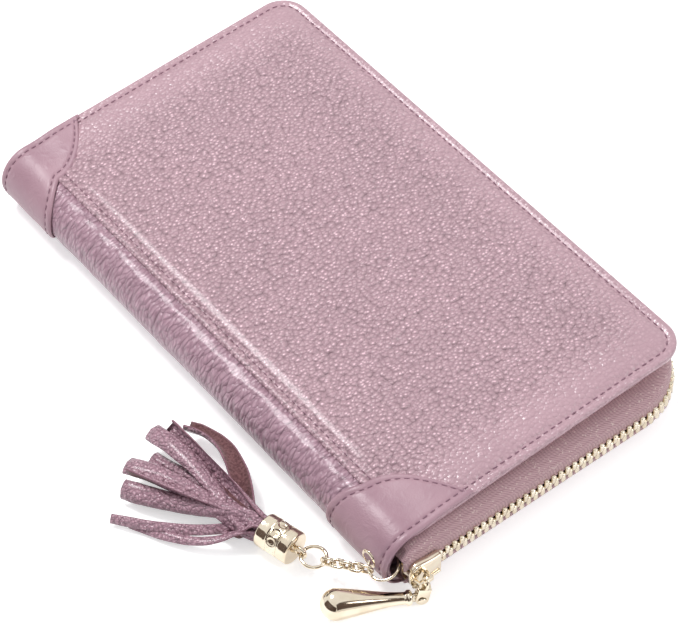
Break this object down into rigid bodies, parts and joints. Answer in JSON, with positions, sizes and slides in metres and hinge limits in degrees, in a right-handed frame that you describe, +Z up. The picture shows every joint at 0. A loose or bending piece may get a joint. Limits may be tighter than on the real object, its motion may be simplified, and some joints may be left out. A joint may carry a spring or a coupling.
{
  "type": "zip-around card holder wallet",
  "caption": "Long zip-around card holder wallet of pebbled pink leather, lying closed, with leather corner patches, a drop zip pull and a leather tassel on a short gold chain.",
  "frame": {"origin": "middle of the wallet's body on the back cover's flat underside", "axes": "+X from the rounded spine to the opening edge, +Y along the spine away from the zip slider, +Z up from the back cover to the front cover"},
  "size_m": [0.1658, 0.2095, 0.0273],
  "materials": {
    "cover_leather": "glossy pebbled grain, dusty mauve pink",
    "spine_leather": "coarser wrinkled pebble grain, purplish pink",
    "patch_leather": "smooth, slightly wrinkled, semi-gloss",
    "zip_tape": "fine twill with a little glitter",
    "gold_metal": "pale champagne gold, polished",
    "tassel_leather": "glossy grain outside, brown-red suede underside",
    "lining": "dark plum weave"
  },
  "bodies": {
    "wallet": {"back_cover": "cover_leather", "front_cover": "cover_leather", "spine_wrap": "spine_leather", "near_corner_patch": "patch_leather", "far_corner_patch": "patch_leather", "upper_zip_tape": "zip_tape", "lower_zip_tape": "zip_tape", "upper_zip_teeth": "gold_metal", "lower_zip_teeth": "gold_metal", "eyelet": "gold_metal", "back_lining": "lining", "front_lining": "lining", "lower_divider": "lining", "upper_divider": "lining", "back_card_pockets": "lining", "front_card_pockets": "lining", "near_gusset": "lining", "far_gusset": "lining"},
    "slider": {"slider": "gold_metal"},
    "bail": {"pull_bail": "gold_metal", "pull_rivet": "gold_metal"},
    "drop": {"pull_drop": "gold_metal"},
    "eyelet_ring": {"eyelet_ring": "gold_metal"},
    "chain_link_1": {"chain_link_1": "gold_metal"},
    "chain_link_2": {"chain_link_2": "gold_metal"},
    "chain_link_3": {"chain_link_3": "gold_metal"},
    "chain_link_4": {"chain_link_4": "gold_metal"},
    "chain_link_5": {"chain_link_5": "gold_metal"},
    "tassel_ring": {"tassel_ring": "gold_metal"},
    "tassel": {"tassel_cap": "gold_metal", "tassel_fringe": "tassel_leather"}
  },
  "joints": [
    {"name": "slider_travel", "type": "slide", "parent": "wallet", "child": "slider", "axis": [1, 0, 0], "range_m": [0, 0.003]},
    {"name": "bail_swing", "type": "hinge", "parent": "slider", "child": "bail", "pos_m": [-0.0493, -0.1058, 0.009], "axis": [-1, 0, 0], "range_deg": [0, 100]},
    {"name": "drop_swing", "type": "hinge", "parent": "bail", "child": "drop", "pos_m": [-0.05037, -0.10523, 0.00211], "axis": [-0.4695, -0.8829, 0], "range_deg": [0, 100]},
    {"name": "ring_swing", "type": "hinge", "parent": "wallet", "child": "eyelet_ring", "pos_m": [-0.0558, -0.0904, 0.0105], "axis": [0, 1, 0], "range_deg": [-8, 9]},
    {"name": "link_1_swing", "type": "hinge", "parent": "eyelet_ring", "child": "chain_link_1", "pos_m": [-0.05939, -0.09252, 0.0092], "axis": [0.498, 0.848, 0.1812], "range_deg": [0, 15]},
    {"name": "link_2_swing", "type": "hinge", "parent": "chain_link_1", "child": "chain_link_2", "pos_m": [-0.06073, -0.08995, 0.00842], "axis": [-0.1203, 0.2301, 0.9657], "range_deg": [0, 20]},
    {"name": "link_3_swing", "type": "hinge", "parent": "chain_link_2", "child": "chain_link_3", "pos_m": [-0.06207, -0.08738, 0.00764], "axis": [0.8862, 0.4633, 0], "range_deg": [0, 15]},
    {"name": "link_4_swing", "type": "hinge", "parent": "chain_link_3", "child": "chain_link_4", "pos_m": [-0.06341, -0.08481, 0.00686], "axis": [-0.1203, 0.2301, 0.9657], "range_deg": [0, 20]},
    {"name": "link_5_swing", "type": "hinge", "parent": "chain_link_4", "child": "chain_link_5", "pos_m": [-0.06475, -0.08225, 0.00608], "axis": [0.8862, 0.4633, 0], "range_deg": [0, 15]},
    {"name": "tassel_ring_swing", "type": "hinge", "parent": "chain_link_5", "child": "tassel_ring", "pos_m": [-0.0661, -0.07968, 0.0053], "axis": [-0.1203, 0.2301, 0.9657], "range_deg": [0, 20]},
    {"name": "tassel_swing", "type": "hinge", "parent": "tassel_ring", "child": "tassel", "pos_m": [-0.06876, -0.07409, 0.00562], "axis": [0.9135, 0.4067, 0], "range_deg": [0, 30]}
  ]
}
